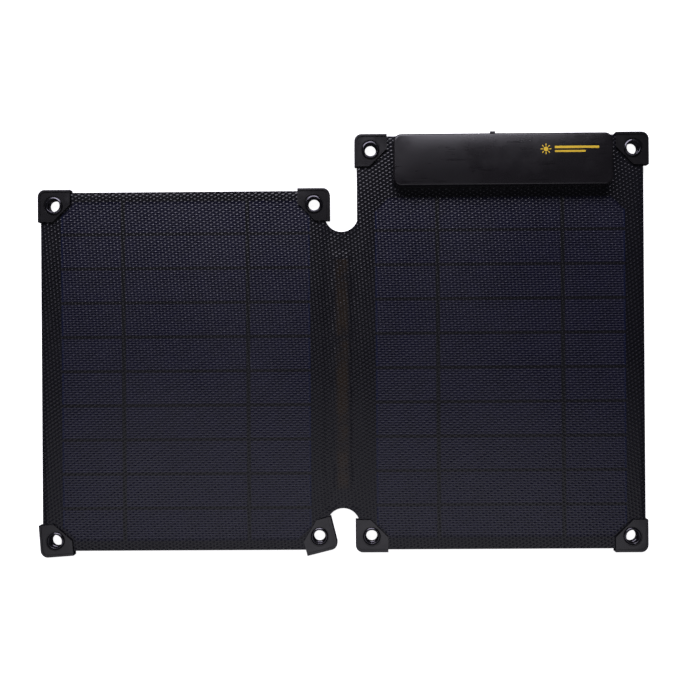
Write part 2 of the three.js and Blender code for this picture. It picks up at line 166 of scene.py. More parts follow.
def rounded(x0, y0, x1, y1, r, steps=8):
    """A rectangle with round corners, turning left."""
    centres = ((x1 - r, y0 + r), (x1 - r, y1 - r), (x0 + r, y1 - r), (x0 + r, y0 + r))
    turns = [arc(x, y, r, 90 * k - 90, 90 * k, steps) for k, (x, y) in enumerate(centres)]
    return np.concatenate(turns)


def resample(loop, step):
    """The closed loop with its long edges split into parts no longer than step."""
    found = []
    for a, b in zip(loop, np.roll(loop, -1, axis=0)):
        length = np.linalg.norm(b - a)
        if length < 1e-6:
            continue
        parts = max(1, math.ceil(length / step))
        found.extend(a + (b - a) * i / parts for i in range(parts))
    return np.array(found)


def linked(name, data):
    """A new object in the scene, around a mesh, a light or a camera."""
    obj = bpy.data.objects.new(name, data)
    bpy.context.scene.collection.objects.link(obj)
    return obj


def mesh_object(name, points, faces):
    mesh = bpy.data.meshes.new(name)
    mesh.from_pydata(np.asarray(points, float).tolist(), [], faces)
    mesh.update()
    return linked(name, mesh)


def to_row(obj):
    """Turns a mesh made in millimetres into metres in the row frame."""
    obj.data.transform(Matrix.Translation(ORIGIN) @ Matrix.Scale(MM, 4))
    return obj


def shade(obj, angle=35, weighted=True):
    """Smooth shading that keeps edges sharper than angle, in degrees."""
    for polygon in obj.data.polygons:
        polygon.use_smooth = True
    obj.data.set_sharp_from_angle(angle=math.radians(angle))
    if weighted:
        modifier = obj.modifiers.new("normals", "WEIGHTED_NORMAL")
        modifier.keep_sharp = True
    return obj


def level(outline, z):
    """An outline's points at height z."""
    return np.column_stack([outline, np.full(len(outline), z)])


def prism(name, outline, z0, z1):
    """A closed upright body over an outline that turns left."""
    return loft(name, [level(outline, z0), level(outline, z1)])


def slab(name, x0, x1, y0, y1, z0, z1):
    """A plain cuboid."""
    return prism(name, np.array([[x0, y0], [x1, y0], [x1, y1], [x0, y1]]), z0, z1)


def rod(name, x, y, r, z0, z1, sides=32):
    """An upright round bar."""
    return prism(name, arc(x, y, r, 0, 360, sides)[:-1], z0, z1)


def carve(target, tool, operation="DIFFERENCE"):
    """Cuts the tool out of the target, or joins it, and removes the tool."""
    modifier = target.modifiers.new("carve", "BOOLEAN")
    modifier.operation = operation
    modifier.solver = "EXACT"
    modifier.object = tool
    depsgraph = bpy.context.evaluated_depsgraph_get()
    made = bpy.data.meshes.new_from_object(target.evaluated_get(depsgraph))
    target.modifiers.clear()
    target.data = made
    bpy.data.objects.remove(tool)
    return target


def bevel(obj, width, segments, chosen):
    """Rounds the edges for which chosen(edge) is true."""
    made = bmesh.new()
    made.from_mesh(obj.data)
    edges = [e for e in made.edges if chosen(e)]
    shape = {"offset": width, "segments": segments, "profile": 0.5}
    bmesh.ops.bevel(made, geom=edges, affect="EDGES", clamp_overlap=True, **shape)
    made.to_mesh(obj.data)
    made.free()
    return obj


def edge_at(axis, place):
    """True for the edges that lie wholly at one place along an axis."""
    return lambda edge: all(abs(v.co[axis] - place) < 1e-4 for v in edge.verts)


def loft(name, rings, capped=True):
    """A surface through rings of equally many points. Capped, its ends are closed."""
    n, last = len(rings[0]), len(rings) - 1
    faces = []
    if capped:
        faces = [list(range(n))[::-1], list(range(last * n, (last + 1) * n))]
    for k in range(last if capped else last + 1):
        a, b = k * n, ((k + 1) % len(rings)) * n
        faces += [[a + i, a + (i + 1) % n, b + (i + 1) % n, b + i] for i in range(n)]
    return mesh_object(name, np.concatenate(rings), faces)


def lathe(name, profile, segments=64):
    """A closed ring-shaped body from a closed profile of (r, z) points."""
    angles = np.linspace(0, 2 * math.pi, segments, endpoint=False)
    rings = [np.array([[r * math.cos(a), r * math.sin(a), z] for r, z in profile]) for a in angles]
    obj = loft(name, rings, capped=False)
    made = bmesh.new()
    made.from_mesh(obj.data)
    bmesh.ops.recalc_face_normals(made, faces=made.faces)
    made.to_mesh(obj.data)
    made.free()
    return obj


# ---- materials


class Graph:
    """A material's nodes, with short calls for what repeats."""

    def __init__(self, name, **sockets):
        self.material = bpy.data.materials.new(name)
        self.material.use_nodes = True
        self.tree = self.material.node_tree
        self.shader = self.tree.nodes["Principled BSDF"]
        for socket, value in sockets.items():
            self.shader.inputs[socket.replace("_", " ")].default_value = value

    def give(self, socket, value):
        """Links a socket's value in, or sets a plain one."""
        if isinstance(value, bpy.types.NodeSocket):
            self.tree.links.new(value, socket)
        else:
            socket.default_value = value

    def node(self, kind, inputs=(), **settings):
        """A new node with its settings, and links or values for its inputs."""
        made = self.tree.nodes.new(kind)
        for key, value in settings.items():
            setattr(made, key, value)
        for key, value in dict(inputs).items():
            self.give(made.inputs[key], value)
        return made

    def maths(self, operation, *values):
        return self.node("ShaderNodeMath", enumerate(values), operation=operation).outputs[0]

    def times(self, a, b):
        return self.maths("MULTIPLY", a, b)

    def minus(self, a, b):
        return self.maths("SUBTRACT", a, b)

    def off(self, a, b):
        """How far a is from b."""
        return self.maths("ABSOLUTE", self.minus(a, b))

    def ramp(self, value, low, high, out_low=0.0, out_high=1.0):
        """A smooth step of a value between low and high."""
        inputs = enumerate((value, low, high, out_low, out_high))
        return self.node("ShaderNodeMapRange", inputs, interpolation_type="SMOOTHSTEP").outputs[0]

    def mix(self, factor, low, high):
        """A colour between low and high."""
        inputs = {"Factor": factor, 6: low, 7: high}
        return self.node("ShaderNodeMix", inputs, data_type="RGBA").outputs[2]

    def noise(self, place, scale, detail=3.0, rough=0.55):
        inputs = {"Vector": place, "Scale": scale, "Detail": detail, "Roughness": rough}
        return self.node("ShaderNodeTexNoise", inputs).outputs["Fac"]

    def flat_place(self):
        """Where a point lay on the flat sheet, in millimetres."""
        return self.node("ShaderNodeAttribute", attribute_name="flat_mm").outputs["Vector"]

    def object_place(self):
        return self.node("ShaderNodeTexCoord").outputs["Object"]

    def parts(self, vector):
        """A vector's x and y."""
        return self.node("ShaderNodeSeparateXYZ", {0: vector}).outputs[:2]

    def bump(self, height, strength=1.0, distance=MM):
        inputs = {"Strength": strength, "Distance": distance, "Height": height}
        made = self.node("ShaderNodeBump", inputs)
        self.give(self.shader.inputs["Normal"], made.outputs["Normal"])

    def colour(self, value):
        self.give(self.shader.inputs["Base Color"], value)

    def roughness(self, value):
        self.give(self.shader.inputs["Roughness"], value)


def rgb(r, g, b):
    return (r, g, b, 1.0)


# Film pattern, in millimetres. A SOFT value is how far an edge fades on each side.
WAFER_CORNER = 8.8
DIAGONAL = 0.707
BAND_PLACES = (0.25, 0.75)
BAND_HALF = 1.3
BAND_SOFT = 0.12
ROW_SOFT = 0.15
RIM_WIDTH = (1.1, 1.5)
FINGER_PITCH = 1.52
FINGER_HALF = 0.20
FINGER_SOFT = (0.06, 0.10)
FINGER_INSET = 1.0
RIBBON_SOFT = {"inside": 3.0, "outside": 0.3, "end": 0.4}

# Painted highlight in the pits: a finger line is this strong on the ridges between them, and a
# pit is painted lighter up to the first of these distances from its middle and fades out at the
# second.
FINGER_ON_RIDGE = 0.45
PIT_HIGHLIGHT_REACH = (0.20, 1.00)

# Film colours and gloss.
BORDER_DARK = rgb(0.0020, 0.0020, 0.0032)
BORDER_LIGHT = rgb(0.0040, 0.0039, 0.0056)
# The border's painted highlight in the pits.
BORDER_PIT_HIGHLIGHT = rgb(0.0095, 0.0095, 0.0130)
RIBBON_TINT = rgb(0.0165, 0.0112, 0.0072)
CELL_DARK = rgb(0.0020, 0.0021, 0.0085)
CELL_LIGHT = rgb(0.0036, 0.0036, 0.0130)
CELL_RIM = rgb(0.0045, 0.0065, 0.0230)
FINGER_TINT = rgb(0.0530, 0.0523, 0.0752)
BAND_TINT = rgb(0.0068, 0.0072, 0.0085)
GAP_TINT = rgb(0.0062, 0.0061, 0.0080)
FILM_ROUGH = (0.19, 0.27)
FILM_GRAIN = 0.012

# Moulded black parts, light and dark.
CLIP_TINTS = (rgb(0.0050, 0.0042, 0.0050), rgb(0.0030, 0.0026, 0.0032))
HOUSING_TINTS = (rgb(0.0070, 0.0060, 0.0072), rgb(0.0056, 0.0048, 0.0058))

# Cloth: half of its weave's repeat in millimetres, and its threads, with its colour painted darker
# in the weave's hollows as painted shade.
WEAVE_PITCH = 0.45
WEAVE_DEPTH = 0.05
SLUB_DEPTH = 0.06
# The weave's painted shade, darker in its hollows and lighter on its raised crossings, and worn
# patches.
CLOTH_HOLLOW_SHADE = rgb(0.008, 0.008, 0.010)
CLOTH_CROWN_LIT = rgb(0.020, 0.020, 0.024)
CLOTH_WORN = rgb(0.032, 0.032, 0.036)

# Rubbed marks on the box: how they are drawn out and turned, and how fine and dense.
STREAK = {"stretch": (0.1, 1.0, 1.0), "turn": (0.0, 0.0, 0.12), "scale": 330.0, "edge": (0.56, 0.68)}
PAD_PITCH = 2.54 * MM


def moulded(name, light, dark, roughness, grain=0.25, streaks=0.0, ior=1.5):
    """Moulded plastic or rubber: fine grain, soft patches, and rubbed streaks if asked."""
    g = Graph(name, IOR=ior)
    place = g.object_place()
    patches = g.ramp(g.noise(place, 60.0), 0.35, 0.7)
    g.colour(g.mix(patches, dark, light))
    smears = g.ramp(g.noise(place, 28.0, 5.0, 0.7), 0.4, 0.65)
    rough = g.ramp(smears, 0.0, 1.0, roughness[0], roughness[1])
    if streaks:
        inputs = {"Vector": place, "Scale": STREAK["stretch"], "Rotation": STREAK["turn"]}
        drawn = g.node("ShaderNodeMapping", inputs)
        fine = g.noise(drawn.outputs[0], STREAK["scale"], 5.0, 0.65)
        rough = g.minus(rough, g.ramp(fine, *STREAK["edge"], 0.0, streaks))
    g.roughness(rough)
    g.bump(g.noise(place, 900.0, 2.0), grain, 0.02 * MM)
    return g.material


def plated(name, light, dark, roughness):
    """Plated metal with fine turning marks and worn patches."""
    g = Graph(name, Metallic=1.0)
    place = g.object_place()
    worn = g.ramp(g.noise(place, 300.0, 4.0), 0.45, 0.7)
    g.colour(g.mix(worn, dark, light))
    g.roughness(g.ramp(g.noise(place, 700.0), 0.3, 0.7, roughness[0], roughness[1]))
    g.bump(g.noise(place, 1500.0, 2.0), 0.15, 0.01 * MM)
    return g.material


# Added before a fraction is taken, so that it is never taken of a negative number.
WHOLE_CELLS = 400.0


def pit_distance(g, place):
    """How far a point is from its pit's middle in millimetres, measured across the oval."""
    inputs = {"Vector": place, "Angle": -math.radians(PIT_TURN)}
    turned = g.node("ShaderNodeVectorRotate", inputs, rotation_type="Z_AXIS")
    across, along = g.parts(turned.outputs[0])
    lean = math.radians(PIT_LEAN)
    found = []
    for shift in (0.0, 0.5):
        offsets = []
        for value, size in ((across, PIT_PITCH * math.sqrt(3)), (along, PIT_PITCH)):
            cell = g.maths("ADD", g.maths("DIVIDE", value, size), shift + 0.5)
            offset = g.minus(g.maths("FRACT", g.maths("ADD", cell, WHOLE_CELLS)), 0.5)
            offsets.append(g.times(offset, size))
        parts = []
        for shares, stretch in (
            ((math.cos(lean), math.sin(lean)), PIT_STRETCH),
            ((-math.sin(lean), math.cos(lean)), 1.0),
        ):
            terms = [g.times(o, share / stretch) for o, share in zip(offsets, shares)]
            parts.append(g.maths("POWER", g.maths("ADD", *terms), 2.0))
        found.append(g.maths("SQRT", g.maths("ADD", *parts)))
    return g.maths("MINIMUM", *found)


def inside_array(g, ax, ay):
    """How deep a point lies inside the array: from its sides alone, and from any edge."""
    half_w, half_h = CELL_WIDTH / 2, ARRAY_HEIGHT / 2
    off_x, off_y = g.off(ax, half_w), g.off(ay, half_h)
    in_side = g.minus(half_w, off_x)
    in_end = g.minus(half_h, off_y)
    cut = half_w + half_h - WAFER_CORNER
    in_corner = g.times(g.minus(cut, g.maths("ADD", off_x, off_y)), DIAGONAL)
    return in_side, g.maths("MINIMUM", g.maths("MINIMUM", in_side, in_end), in_corner)


def finger_lines(g, row_y, inside, silicon, pit_highlight):
    """The silver lines along the rows, with a painted highlight that makes them brightest in the
    pits.
    """
    low, high = FINGER_SOFT
    off_line = g.off(g.maths("MODULO", row_y, FINGER_PITCH), FINGER_PITCH / 2)
    line = g.ramp(off_line, FINGER_HALF - low, FINGER_HALF + high, 1.0, 0.0)
    line = g.times(line, g.ramp(inside, FINGER_INSET - high, FINGER_INSET + high))
    line = g.times(line, silicon)
    # Painted highlight: the lines are painted brighter in the pits than on the ridges.
    return g.times(line, g.ramp(pit_highlight, 0.0, 1.0, FINGER_ON_RIDGE, 1.0))


def over_ribbon(g, place, x, y):
    """How much of the flat ribbon shows through the film, in uneven patches."""
    inside, outside, end = RIBBON_SOFT["inside"], RIBBON_SOFT["outside"], RIBBON_SOFT["end"]
    off_fold = g.maths("ABSOLUTE", x)
    across = g.ramp(off_fold, FLEX_HIGH.x - inside, FLEX_HIGH.x + outside, 1.0, 0.0)
    above = g.ramp(y, FLEX_LOW.y - end, FLEX_LOW.y + end)
    below = g.ramp(y, FLEX_HIGH.y - end, FLEX_HIGH.y + end, 1.0, 0.0)
    stain = g.ramp(g.noise(place, 0.11, 4.0, 0.6), 0.25, 0.64)
    return g.times(g.times(across, g.times(above, below)), stain)


def border_colour(g, place, x, y, pit_highlight):
    """Cloudy black with a painted highlight in the pits, and the ribbon showing along the fold."""
    clouds = g.ramp(g.noise(place, 0.035, 4.0), 0.35, 0.68)
    border = g.mix(clouds, BORDER_DARK, BORDER_LIGHT)
    # Painted highlight: the border is painted lighter in the pits.
    border = g.mix(pit_highlight, border, BORDER_PIT_HIGHLIGHT)
    return g.mix(over_ribbon(g, place, x, y), border, RIBBON_TINT)


def array_colour(g, place, ax, ay, pit_highlight):
    """The cell rows with their lines, bands and gaps, and the share inside the array."""
    in_side, inside = inside_array(g, ax, ay)
    in_array = g.ramp(inside, -BAND_SOFT, BAND_SOFT)
    row_y = g.maths("MODULO", g.maths("ADD", ay, CELL_PITCH), CELL_PITCH)
    in_row = g.minus(CELL_HEIGHT / 2, g.off(row_y, CELL_HEIGHT / 2))
    in_row = g.ramp(in_row, -ROW_SOFT, ROW_SOFT)
    silicon = g.times(in_array, in_row)
    rim = g.times(g.ramp(in_side, *RIM_WIDTH, 1.0, 0.0), silicon)
    bands = [g.off(ax, share * CELL_WIDTH) for share in BAND_PLACES]
    off_band = g.maths("MINIMUM", *bands)
    band = g.ramp(off_band, BAND_HALF - BAND_SOFT, BAND_HALF + BAND_SOFT, 1.0, 0.0)
    crystals = g.ramp(g.noise(place, 0.12, 2.0), 0.3, 0.7)
    colour = g.mix(crystals, CELL_DARK, CELL_LIGHT)
    colour = g.mix(rim, colour, CELL_RIM)
    colour = g.mix(finger_lines(g, row_y, inside, silicon, pit_highlight), colour, FINGER_TINT)
    colour = g.mix(g.times(band, in_array), colour, BAND_TINT)
    gap = g.times(in_array, g.minus(1.0, in_row))
    return g.mix(gap, colour, GAP_TINT), in_array


def film_material(side):
    """Black laminate with ten cell rows, their finger lines and the embossed pits."""
    low = box_mm(f"{side}_cell_01")[0]
    g = Graph(f"film_{side}", IOR=1.40)
    place = g.flat_place()
    x, y = g.parts(place)
    from_pit = pit_distance(g, place)
    # Painted highlight in the pits: 1 near a pit's middle, fading to 0 towards its rim.
    pit_highlight = g.ramp(from_pit, *PIT_HIGHLIGHT_REACH, 1.0, 0.0)
    border = border_colour(g, place, x, y, pit_highlight)
    covered, in_array = array_colour(g, place, g.minus(x, low.x), g.minus(y, low.y), pit_highlight)
    g.colour(g.mix(in_array, border, covered))

    # The pits' slope, a faint cloth print and uneven gloss.
    pit = g.ramp(from_pit, 0.0, PIT_RADIUS, 1.0, 0.0)
    print_height = g.times(g.noise(place, 1.6, 3.0), FILM_GRAIN)
    g.bump(g.minus(print_height, g.times(pit, PIT_BUMP)))
    g.roughness(g.ramp(g.noise(place, 0.02, 5.0, 0.65), 0.3, 0.7, *FILM_ROUGH))
    return g.material


def cloth_material():
    """Plain-woven polyester, with slubs, a faint sheen and painted shade in the weave's hollows."""
    g = Graph("cloth", Roughness=0.85, IOR=1.45, Sheen_Weight=0.08, Sheen_Roughness=0.5)
    place = g.flat_place()
    x, y = g.parts(place)
    warp = g.maths("SINE", g.times(x, math.pi / WEAVE_PITCH))
    weft = g.maths("SINE", g.times(y, math.pi / WEAVE_PITCH))
    over = g.times(warp, weft)
    slub = g.noise(place, 0.9, 4.0)
    g.bump(g.maths("ADD", g.times(over, WEAVE_DEPTH), g.times(slub, SLUB_DEPTH)))
    # Painted shade: the colour is darker in the weave's hollows and lighter on its raised crossings.
    weave_shade = g.ramp(over, -0.8, 0.8)
    worn = g.ramp(g.noise(place, 0.05, 5.0), 0.4, 0.7)
    colour = g.mix(weave_shade, CLOTH_HOLLOW_SHADE, CLOTH_CROWN_LIT)
    g.colour(g.mix(g.times(worn, 0.4), colour, CLOTH_WORN))
    return g.material


def silicon_material():
    """Cell strips: dark blue silicon with faint crystal patches."""
    g = Graph("silicon", Metallic=0.2, IOR=2.0)
    place = g.object_place()
    crystals = g.ramp(g.noise(place, 160.0, 2.0), 0.35, 0.65)
    g.colour(g.mix(crystals, rgb(0.005, 0.006, 0.02), rgb(0.012, 0.015, 0.04)))
    g.roughness(g.ramp(g.noise(place, 500.0), 0.3, 0.7, 0.2, 0.35))
    return g.material


def circuit_material():
    """Green solder mask with copper showing at small square pads."""
    g = Graph("circuit", IOR=1.5)
    place = g.object_place()
    x, y = g.parts(place)
    pads = []
    for value in (x, y):
        cell = g.maths("ADD", g.maths("DIVIDE", value, PAD_PITCH), WHOLE_CELLS / 2)
        pads.append(g.ramp(g.off(g.maths("FRACT", cell), 0.5), 0.16, 0.2, 1.0, 0.0))
    spread = g.ramp(g.noise(place, 120.0, 2.0), 0.5, 0.56)
    pad = g.times(g.times(*pads), spread)
    g.colour(g.mix(pad, rgb(0.01, 0.09, 0.035), rgb(0.55, 0.33, 0.12)))
    g.roughness(g.ramp(pad, 0.0, 1.0, 0.45, 0.3))
    return g.material


MATERIALS = {
    "film_left": film_material("left"),
    "film_right": film_material("right"),
    "cloth": cloth_material(),
    "silicon": silicon_material(),
    "circuit": circuit_material(),
    "clip": moulded("clip", *CLIP_TINTS, (0.27, 0.34), ior=1.60),
    "housing": moulded("housing", *HOUSING_TINTS, (0.27, 0.33), streaks=0.07),
    "rubber": moulded("rubber", rgb(0.012, 0.012, 0.013), rgb(0.007, 0.007, 0.008), (0.6, 0.75)),
    "board": moulded("board", rgb(0.05, 0.07, 0.045), rgb(0.03, 0.045, 0.03), (0.6, 0.75), 0.5),
    "ferrite": moulded("ferrite", rgb(0.05, 0.05, 0.052), rgb(0.03, 0.03, 0.032), (0.6, 0.8), 0.5),
    "ink": moulded("ink", rgb(0.80, 0.54, 0.018), rgb(0.66, 0.43, 0.014), (0.5, 0.6)),
    "eyelet": plated("eyelet", rgb(0.090, 0.088, 0.098), rgb(0.060, 0.058, 0.066), (0.18, 0.26)),
    "steel": plated("steel", rgb(0.55, 0.55, 0.56), rgb(0.40, 0.40, 0.41), (0.25, 0.4)),
    "copper": plated("copper", rgb(0.60, 0.30, 0.16), rgb(0.42, 0.20, 0.10), (0.3, 0.45)),
}


def dress(obj, material):
    """Gives a piece its material."""
    obj.data.materials.clear()
    obj.data.materials.append(MATERIALS[material])
    return obj


def finished(obj, material, body, stands_for=None, sharp=35):
    """Puts a piece in the row frame, with its material, shading and body, and hides the CAD node
    that it stands for.
    """
    to_row(obj)
    dress(obj, material)
    shade(obj, sharp)
    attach(obj, body)
    if stands_for:
        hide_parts(stands_for)


# ---- sheets


def sheet_outline(side):
    """A panel's outline with its half of the web, up to the fold's middle."""
    r, height = FABRIC_CORNER, HEIGHT[side]
    fine, finer = ARC_STEPS["corner"], ARC_STEPS["notch"]
    top = math.degrees(math.acos(HINGE_HALF / TOP_NOTCH["r"]))
    bottom = math.degrees(math.acos(HINGE_HALF / BOTTOM_NOTCH["r"]))
    turns = [
        arc(OUTER_X - r, r, r, -90, 0, fine),
        arc(OUTER_X - r, height - r, r, 0, 90, fine),
        arc(HINGE_HALF + r, height - r, r, 90, 180, fine),
        arc(0, TOP_NOTCH["y"], TOP_NOTCH["r"], -top, -90, finer),
        arc(0, BOTTOM_NOTCH["y"], BOTTOM_NOTCH["r"], 90, bottom, finer),
        arc(HINGE_HALF + r, r, r, 180, 270, fine),
    ]
    points = np.concatenate(turns)
    return points if side == "right" else (points * [-1, 1])[::-1]


def eyelet_place(side, corner):
    low, high = box_mm(f"{side}_eyelet_{corner}")
    return (low + high) / 2


def screw_places():
    found = []
    for i in range(4):
        low, high = box_mm(f"box_screw_{i + 1}")
        found.append(((low.x + high.x) / 2, (low.y + high.y) / 2))
    return found


def sheet_holes(side):
    """Round holes as (x, y, r): the eyelets, and the box's screws on the right."""
    places = [eyelet_place(side, corner) for corner in CORNERS]
    holes = [(place.x, place.y, EYELET_HOLE) for place in places]
    if side == "right":
        holes += [(x, y, SCREW_HOLE) for x, y in screw_places()]
    return holes


def inside_sheet(points, side, holes, clearance=0.0):
    """True for points inside the sheet, at least clearance from its edges."""
    x, y, c, r = np.abs(points[:, 0]), points[:, 1], clearance, FABRIC_CORNER
    on_side = np.sign(points[:, 0]) == SIDES[side]
    height = HEIGHT[side]
    panel = (x > HINGE_HALF + c) & (x < OUTER_X - c) & (y > c) & (y < height - c)
    for cx, sx in ((HINGE_HALF + r, -1), (OUTER_X - r, 1)):
        for cy, sy in ((r, -1), (height - r, 1)):
            beyond = ((x - cx) * sx > 0) & ((y - cy) * sy > 0)
            panel &= ~(beyond & (np.hypot(x - cx, y - cy) > r - c))
    web = (x > c) & (x <= HINGE_HALF + c) & (y > BOTTOM_NOTCH["y"]) & (y < TOP_NOTCH["y"])
    for notch in (TOP_NOTCH, BOTTOM_NOTCH):
        web &= np.hypot(x, y - notch["y"]) > notch["r"] + c
    keep = (panel | web) & on_side
    for hx, hy, hr in holes:
        keep &= np.hypot(points[:, 0] - hx, points[:, 1] - hy) > hr + c
    return keep


def clear_points(points, side, holes, clearance):
    return points[inside_sheet(points, side, holes, clearance)]


def turned_by(degrees):
    """The matrix that turns row vectors to the left."""
    c, s = math.cos(math.radians(degrees)), math.sin(math.radians(degrees))
    return np.array([[c, s], [-s, c]])


def lattice():
    """The pits' centres and the corners of their hexagons, over the whole blanket."""
    row = PIT_PITCH * math.sqrt(3)
    reach = int(LATTICE_REACH / PIT_PITCH)
    across, along = np.meshgrid(np.arange(-reach, reach), np.arange(-reach, reach))
    grid = np.stack([across.ravel() * row, along.ravel() * PIT_PITCH], 1)
    centres = np.concatenate([grid, grid + [row / 2, PIT_PITCH / 2]])
    matrix = turned_by(PIT_TURN)
    corner = np.array([PIT_PITCH / math.sqrt(3), 0])
    ridge = np.concatenate([centres + corner, centres - corner])
    reach_x, reach_y = OUTER_X + PIT_PITCH, HEIGHT["right"] + PIT_PITCH
    kept = []
    for points in (centres @ matrix, ridge @ matrix):
        x, y = points[:, 0], points[:, 1]
        kept.append(points[(np.abs(x) < reach_x) & (y > -PIT_PITCH) & (y < reach_y)])
    return kept


PIT_CENTRES, PIT_RIDGES = lattice()


def pit_points():
    """Every point of the embossed face: pit middles, pit rims and the ridges between."""
    angles = np.radians(60 * np.arange(6))
    oval = PIT_RADIUS * np.stack([PIT_STRETCH * np.cos(angles), np.sin(angles)], 1)
    rim = oval @ turned_by(PIT_TURN + PIT_LEAN)
    rims = (PIT_CENTRES[:, None] + rim[None]).reshape(-1, 2)
    return np.concatenate([PIT_CENTRES, rims, PIT_RIDGES])


def pit_offset(points):
    """How far each point is from the nearest pit's middle, measured across the oval."""
    size = np.array([PIT_PITCH * math.sqrt(3), PIT_PITCH])
    turned = points @ turned_by(-PIT_TURN)
    found = []
    for start in (np.zeros(2), size / 2):
        offset = turned - start - np.round((turned - start) / size) * size
        oval = offset @ turned_by(-PIT_LEAN) / [PIT_STRETCH, 1.0]
        found.append(np.linalg.norm(oval, axis=1))
    return np.minimum(*found)


def web_share(points, side):
    """How the skins leave the board: shares of the edge, the web and the ribbon."""
    x, y = np.abs(points[:, 0]), points[:, 1]
    margin, flat, height = BOARD_MARGIN, EDGE_FLAT, HEIGHT[side]
    begins, full = WEB_FADE
    ends = np.maximum(smooth(margin, flat, y), smooth(height - margin, height - flat, y))
    outer = smooth(OUTER_X - margin, OUTER_X - flat, x)
    inner = smooth(HINGE_HALF + margin, HINGE_HALF + flat, x)
    in_web = smooth(BOTTOM_NOTCH["y"] + begins, BOTTOM_NOTCH["y"] + full, y)
    in_web *= smooth(TOP_NOTCH["y"] - begins, TOP_NOTCH["y"] - full, y)
    edge = np.maximum(np.maximum(ends, outer), inner * (1 - in_web))
    end = RIBBON_FADE["end"]
    ribbon = smooth(FLEX_HIGH.x + RIBBON_FADE["side"], FLEX_HIGH.x, x)
    ribbon *= smooth(FLEX_LOW.y - end, FLEX_LOW.y, y) * smooth(FLEX_HIGH.y + end, FLEX_HIGH.y, y)
    return edge, inner * in_web * (1 - edge), ribbon


def ripple(points):
    """Soft unevenness of a laminate that has been folded and carried."""
    x, y = points[:, 0], points[:, 1]
    (long_x, long_y), (shift_x, shift_y) = RIPPLE["broad"], RIPPLE["shift"]
    slant_x, slant_y = RIPPLE["slant"]
    broad = np.sin(x / long_x + shift_x) * np.sin(y / long_y + shift_y)
    return RIPPLE["height"] * (broad + RIPPLE["share"] * np.sin(x / slant_x - y / slant_y))


def creases(points):
    """Fine upright creases in the soft web beside the fold."""
    x, y = points[:, 0], points[:, 1]
    wander = sum(size * np.sin(y / length + shift) for size, length, shift in CREASE_WANDER)
    total = np.zeros(len(points))
    for place, depth in CREASES:
        total -= depth * np.exp(-(((x - place - wander) / CREASE_WIDTH) ** 2))
    return total


def front_face(points, side):
    edge, web, ribbon = web_share(points, side)
    drop = EDGE_DROP * edge + WEB_DROP * web
    drop -= (WEB_DROP - RIBBON_DROP) * ribbon * web
    uneven = ripple(points) * (1 - edge) * (1 - web) * RIPPLE_ON_PANEL
    return FILM_TOP - drop + uneven + creases(points)


def embossed(points, side):
    pit = 1 - smooth(0, PIT_RADIUS, pit_offset(points))
    return front_face(points, side) - PIT_DEPTH * pit


def film_underside(points, side):
    return front_face(points, side) - SKIN


def rear_face(points, side):
    """The rear skin's lower face."""
    edge, web, _ = web_share(points, side)
    rise = WEB_REAR_TOP - SKIN - REAR_Z
    return REAR_Z + EDGE_RISE * edge + rise * web


def cloth_inside(points, side):
    return rear_face(points, side) + SKIN


def loop_edges(loops):
    """Pairs of neighbours around each loop, numbered through all loops."""
    edges, start = [], 0
    for loop in loops:
        n = len(loop)
        edges += [(start + i, start + (i + 1) % n) for i in range(n)]
        start += n
    return edges


def triangles(loops, inside):
    """The points of loops and inside, and triangles over them all."""
    points = np.concatenate([*loops, inside])
    corners = [Vector(point) for point in points.tolist()]
    made = delaunay_2d_cdt(corners, loop_edges(loops), [], 0, 1e-7, True)
    index = np.array([found[0] for found in made[3]])
    return points, index[np.array(made[2])]


def sheet_triangles(loops, inside, side, holes):
    """Triangles over the sheet only, without its holes and notches."""
    points, faces = triangles(loops, inside)
    return points, faces[inside_sheet(points[faces].mean(1), side, holes)]


def closed_body(name, loops, upper, upper_faces, lower, lower_faces):
    """A body between two meshes that both begin with the loops' points, seen from above."""
    n = len(upper)
    walls = [[a, n + a, n + b, b] for a, b in loop_edges(loops)]
    faces = upper_faces.tolist() + (lower_faces[:, ::-1] + n).tolist() + walls
    return mesh_object(name, np.concatenate([upper, lower]), faces)


def sheet(name, side, holes, inner_top, inner_low, top, low):
    """One closed sheet between the height fields top and low, with round holes."""
    loops = [resample(sheet_outline(side), GRID["outline"])]
    loops += [arc(x, y, r, 360, 0, HOLE_SIDES)[:-1] for x, y, r in holes]
    loops = [np.round(loop, 6) for loop in loops]
    upper, upper_faces = sheet_triangles(loops, inner_top, side, holes)
    lower, lower_faces = sheet_triangles(loops, inner_low, side, holes)
    upper = np.column_stack([upper, top(upper, side)])
    lower = np.column_stack([lower, low(lower, side)])
    obj = closed_body(name, loops, upper, upper_faces, lower, lower_faces)
    flat = obj.data.attributes.new("flat_mm", "FLOAT_VECTOR", "POINT")
    places = np.concatenate([upper, lower]).astype(np.float32)
    flat.data.foreach_set("vector", places.ravel())
    shade(obj, 50, weighted=False)
    return to_row(obj)


def bend_over_fold(obj, side):
    """Bakes the sheet's placement into its mesh, the same on both sides; the sheet does not bend at
    the fold.
    """
    if side == "left":
        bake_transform(obj)
    else:
        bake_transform(obj)


def coarse_grid(step):
    x = np.arange(-OUTER_X, OUTER_X, step) + step / 3
    y = np.arange(0, HEIGHT["right"], step) + step / 3
    return np.stack(np.meshgrid(x, y), -1).reshape(-1, 2)


